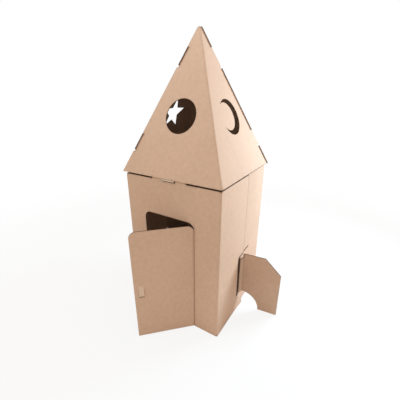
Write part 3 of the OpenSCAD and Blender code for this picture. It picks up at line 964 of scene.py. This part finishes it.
def kraft_board(name, finish, pitch, tone, inner, seed):
    """Brown corrugated board: kraft liner with fibres and flecks, creases, and cut edges.

    The paper's tone drifts with a broad noise; long fine noise along the flutes gives fibres, high
    noise gives flecks, and a sine across the flutes gives the faint washboard of the fluting below,
    as a bump and as painted shade in the colour. tone is the level of the outer liner and inner that
    of the other liner beside it; a lowered level is painted shade. Crushed folds darken the paper.
    Painted shade darkens the seam, the slits, the cut down to the near-black hollow of the flutes,
    and the band beside each cut, which is also wear. A crease value below zero is a painted
    highlight.
    """
    made = bpy.data.materials.new(name)
    nodes = Nodes(made)
    add, maths, span, mixed, noise = nodes.add, nodes.maths, nodes.span, nodes.mixed, nodes.noise
    where = add("TexCoord")["Object"]
    spot = add("Mapping", {"Vector": where, "Location": (seed, 2 * seed, 3 * seed)})["Vector"]
    flat = add("UVMap", uv_map=FLAT_MAP)["UV"]
    long = add("Mapping", {"Vector": flat, "Scale": FIBRE_SCALE})["Vector"]
    cloud, mottle, grain = noise(spot, *CLOUD), noise(spot, *MOTTLE), noise(spot, *GRAIN)
    fibre = noise(long, *FIBRE)
    wave = maths("SINE", maths("MULTIPLY", add("SeparateXYZ", (flat,))["X"], 2 * pi / pitch))

    level = maths("MULTIPLY", span(cloud, *MIDDLE, *(tone * share for share in CLOUD_TONE)),
                  span(mottle, *MIDDLE, *MOTTLE_TONE))
    # Painted shade of the flutes: the wave darkens the colour a little.
    level = maths("MULTIPLY", level, span(wave, *WAVE, *FLUTE_SHADE))
    # The other liner's lower level is painted shade inside the house.
    level = maths("MULTIPLY", level, span(nodes.noted("inside"), *OTHER_LINER, 1, inner))
    paper = mixed(span(fibre, *FLECKED), finish.liner, finish.fleck)
    paper = mixed(span(grain, *PALED), paper, finish.pale)
    skin = mixed(1, paper, level, "MULTIPLY")
    crease, core = nodes.noted("crease"), nodes.noted("core")
    # Painted highlight: crease values below zero mix towards the pale colour.
    skin = mixed(span(crease, -1, 0, 1, 0), skin, finish.pale)
    # Crushed paper at the folds; the same mix paints shade along the seam and the slits.
    skin = mixed(maths("MULTIPLY", crease, span(mottle, *MIDDLE, *CRUSHED)), skin, finish.crease)
    # Band beside the cut edges: partly wear, partly painted shade.
    worn = maths("MULTIPLY", nodes.noted("worn"), span(mottle, *MIDDLE, *RUBBED_AND_SHADED))
    skin = mixed(worn, skin, finish.cut)
    # Cut colour at the edge: partly its own colour, partly painted shade.
    skin = mixed(span(core, *CUT_FROM, 0, 1), skin, finish.cut)
    # Painted shade deep in the flutes.
    skin = mixed(span(core, *HOLLOW_FROM, 0, 1), skin, finish.hollow)

    height = maths("ADD", span(fibre, 0, 1, 0, FIBRE_H), span(wave, *WAVE, 0, WAVE_H))
    height = maths("ADD", height, span(mottle, 0, 1, 0, LUMP_H))
    bump = add("Bump", {"Height": height, "Strength": BUMP, "Distance": 1.0})["Normal"]
    surface = add("BsdfPrincipled", {
        "Base Color": skin, "Normal": bump, "Roughness": span(mottle, *MIDDLE, *ROUGH),
        "Specular IOR Level": SPECULAR, "Sheen Weight": SHEEN, "Sheen Roughness": SHEEN_ROUGH})[0]
    add("OutputMaterial", (surface,))
    return made


def dress(piece, node_name, body):
    """Gives a piece its own kraft board and lets it stand for its CAD node on its body."""
    scene = bpy.context.scene
    kraft = kraft_board(node_name + "_kraft", scene.board_finish, scene.board_sizes.pitch,
                        *TONES[node_name])
    piece.data.materials.append(kraft)
    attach(piece, body)
    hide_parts(node_name)
    return kraft


class PLAYHOUSE_OT_wall_sheets(bpy.types.Operator):
    """Fold the front and the rear wall sheet"""
    bl_idname = "playhouse.wall_sheets"
    bl_label = "Wall sheets"

    def execute(self, context):
        scene = context.scene
        sizes = scene.board_sizes, scene.tower_sizes, scene.door_sizes, scene.roof_sizes
        for name, doorway, half_turns in (("front_sheet", True, 0), ("rear_sheet", False, 1)):
            dress(wall_sheet(name + "_board", *sizes, doorway, half_turns), name, "house")
        return {"FINISHED"}


class PLAYHOUSE_OT_door(bpy.types.Operator):
    """Cut the door leaf with its latch flap and the crease that it swings on"""
    bl_idname = "playhouse.door"
    bl_label = "Door"

    def execute(self, context):
        scene = context.scene
        board, tower, door = scene.board_sizes, scene.tower_sizes, scene.door_sizes
        kraft = dress(door_leaf("door_leaf", board, tower, door), "door", "door")
        crease = hinge_crease("door_crease", board, tower, door)
        crease.data.materials.append(kraft)
        reach = BAND_TURN * board.recess
        hinge = np.array([door.hinge, -tower.half, 0])
        leaf = hinge - reach * np.array([cos(door.open), sin(door.open), 0])
        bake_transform(crease)
        return {"FINISHED"}


class PLAYHOUSE_OT_roof_sheets(bpy.types.Operator):
    """Fold the two roof sheets with their windows, fingers and notches"""
    bl_idname = "playhouse.roof_sheets"
    bl_label = "Roof sheets"

    def execute(self, context):
        scene = context.scene
        sizes = scene.board_sizes, scene.tower_sizes, scene.roof_sizes
        for name, kinds, half_turns, dent in (("roof_front", ("round", "crescent"), 0, True),
                                              ("roof_rear", ("plain", "star"), 1, False)):
            dress(roof_sheet(name + "_board", *sizes, kinds, half_turns, dent), name, "house")
        return {"FINISHED"}


class PLAYHOUSE_OT_fins(bpy.types.Operator):
    """Fold the two fins that stand beside the slots of the side walls"""
    bl_idname = "playhouse.fins"
    bl_label = "Fins"

    def execute(self, context):
        scene = context.scene
        sizes = scene.board_sizes, scene.tower_sizes, scene.fin_sizes
        for name, half_turns in (("fin_right", 0), ("fin_left", 1)):
            dress(fin_board(name + "_board", *sizes, half_turns), name, "house")
        return {"FINISHED"}


def studio_floor(name, stage):
    """A round floor: rings of points whose radius grows with the square of the ring's number."""
    ring, spoke = np.meshgrid(np.arange(1, FLOOR_RINGS + 1), np.arange(FLOOR_SPOKES), indexing="ij")
    r = stage.floor_r * (ring / FLOOR_RINGS) ** 2
    a = 2 * pi * spoke / FLOOR_SPOKES
    points = np.stack([r * np.cos(a), r * np.sin(a), 0 * r], -1).reshape(-1, 3)
    points = np.concatenate([np.zeros((1, 3)), points]) - (0, 0, FLOOR_DROP)
    first = 1 + np.arange(FLOOR_SPOKES)
    hub = np.stack([0 * first, first, np.roll(first, -1)], -1)
    rings = 1 + ring_faces(FLOOR_RINGS, FLOOR_SPOKES)[:, ::-1]
    return solid(name, points, [hub, rings], points[:, :2], {})


def pale_floor(stage, indoors):
    """Pale floor that shows near white and keeps a soft shadow, and fades to the background far out.

    Between the walls, which stand off the middle by the two lengths of indoors, it doesn't glow.
    """
    made = bpy.data.materials.new("pale_floor")
    nodes = Nodes(made)
    add, maths, span = nodes.add, nodes.maths, nodes.span
    where = add("TexCoord")["Object"]
    far = add("VectorMath", (where,), operation="LENGTH")["Value"]
    fade = span(far, *GLOW_FROM, *GLOW, interpolation_type="SMOOTHSTEP")
    part_way = add("VectorMath", (where, (*indoors, 1)), operation="DIVIDE")["Vector"]
    apart = add("SeparateXYZ", (add("VectorMath", (part_way,), operation="ABSOLUTE")["Vector"],))
    widest = maths("MAXIMUM", apart["X"], apart["Y"])
    outside = span(widest, *INDOORS, interpolation_type="SMOOTHSTEP")
    share = maths("MULTIPLY", maths("MULTIPLY", nodes.seen_as_white(), outside), fade)
    tone = span(nodes.noise(where, *FLOOR_CLOUD), 0, 1, *FLOOR_TONE)
    matt = add("BsdfDiffuse", (nodes.mixed(1, stage.floor, tone, "MULTIPLY"),))[0]
    add("OutputMaterial", (add("MixShader", (share, matt, add("Emission")[0]))[0],))
    return made


def room_light(stage):
    """White for the camera, and an even soft light for everything else."""
    world = bpy.data.worlds.new("white_room")
    nodes = Nodes(world)
    room = nodes.add("Background", (stage.room_tint, stage.room))[0]
    seen = nodes.add("Background", (Color((1, 1, 1)),))[0]
    both = nodes.add("MixShader", (nodes.seen_as_white(), room, seen))[0]
    nodes.add("OutputWorld", (both,))
    bpy.context.scene.world = world


def soft_lamp(name, watts, side, place, target, tint):
    """A square soft lamp at place that faces target."""
    lamp = bpy.data.lights.new(name, "AREA")
    lamp.energy, lamp.size, lamp.color = watts, side, tint
    made = bpy.data.objects.new(name, lamp)
    made.location = place
    made.rotation_euler = (Vector(target) - Vector(place)).to_track_quat("-Z", "Y").to_euler()
    bpy.context.scene.collection.objects.link(made)


class PLAYHOUSE_OT_stage(bpy.types.Operator):
    """Lay the floor, hang the lamps and set the camera"""
    bl_idname = "playhouse.stage"
    bl_label = "Stage"

    def execute(self, context):
        scene, stage = context.scene, context.scene.stage_sizes
        floor = studio_floor("studio_floor", stage)
        half = scene.tower_sizes.half
        floor.data.materials.append(pale_floor(stage, (half, half - scene.board_sizes.thick)))
        room_light(stage)
        for name, (watts, *looks) in LAMPS.items():
            soft_lamp(name, getattr(stage, watts), *looks)
        yaw, dip, roll = stage.aim
        ahead = Vector((sin(yaw) * cos(dip), cos(yaw) * cos(dip), -sin(dip)))
        level = Vector((cos(yaw), -sin(yaw), 0))
        above = level.cross(ahead)
        right = cos(roll) * level + sin(roll) * above
        top = cos(roll) * above - sin(roll) * level
        lens = bpy.data.cameras.new("photo_camera")
        lens.lens, lens.sensor_width, lens.clip_start = stage.lens, SENSOR, NEAREST
        camera = bpy.data.objects.new("photo_camera", lens)
        turn = Matrix((right, top, -ahead)).transposed().to_4x4()
        camera.matrix_world = Matrix.Translation(stage.eye) @ turn
        scene.collection.objects.link(camera)
        scene.camera = camera
        scene.view_settings.view_transform = "Standard"
        return {"FINISHED"}


class PLAYHOUSE_PT_panel(bpy.types.Panel):
    """Sizes, colours and steps of the playhouse"""
    bl_idname = "PLAYHOUSE_PT_panel"
    bl_label = "Playhouse"
    bl_space_type = "VIEW_3D"
    bl_region_type = "UI"
    bl_category = "Playhouse"

    def draw(self, context):
        for operator in OPERATORS:
            self.layout.operator(operator.bl_idname)
        for key, group in GROUPS.items():
            box = self.layout.box()
            box.label(text=group.__doc__)
            for name in group.__annotations__:
                box.prop(getattr(context.scene, key), name)


GROUPS = {"board_sizes": BoardSizes, "tower_sizes": TowerSizes, "door_sizes": DoorSizes,
          "roof_sizes": RoofSizes, "fin_sizes": FinSizes, "board_finish": BoardFinish,
          "stage_sizes": StageSizes}
OPERATORS = (PLAYHOUSE_OT_wall_sheets, PLAYHOUSE_OT_door, PLAYHOUSE_OT_roof_sheets,
             PLAYHOUSE_OT_fins, PLAYHOUSE_OT_stage)


def register():
    """Adds the sizes, the operators and the panel."""
    for key, group in GROUPS.items():
        bpy.utils.register_class(group)
        setattr(bpy.types.Scene, key, PointerProperty(type=group))
    for made in (*OPERATORS, PLAYHOUSE_PT_panel):
        bpy.utils.register_class(made)


def unregister():
    """Takes them away again, last first."""
    for made in (PLAYHOUSE_PT_panel, *reversed(OPERATORS)):
        bpy.utils.unregister_class(made)
    for key, group in reversed(GROUPS.items()):
        delattr(bpy.types.Scene, key)
        bpy.utils.unregister_class(group)


def main():
    register()
    bpy.ops.playhouse.wall_sheets()
    bpy.ops.playhouse.door()
    bpy.ops.playhouse.roof_sheets()
    bpy.ops.playhouse.fins()
    bpy.ops.playhouse.stage()


if __name__ == "__main__":
    main()
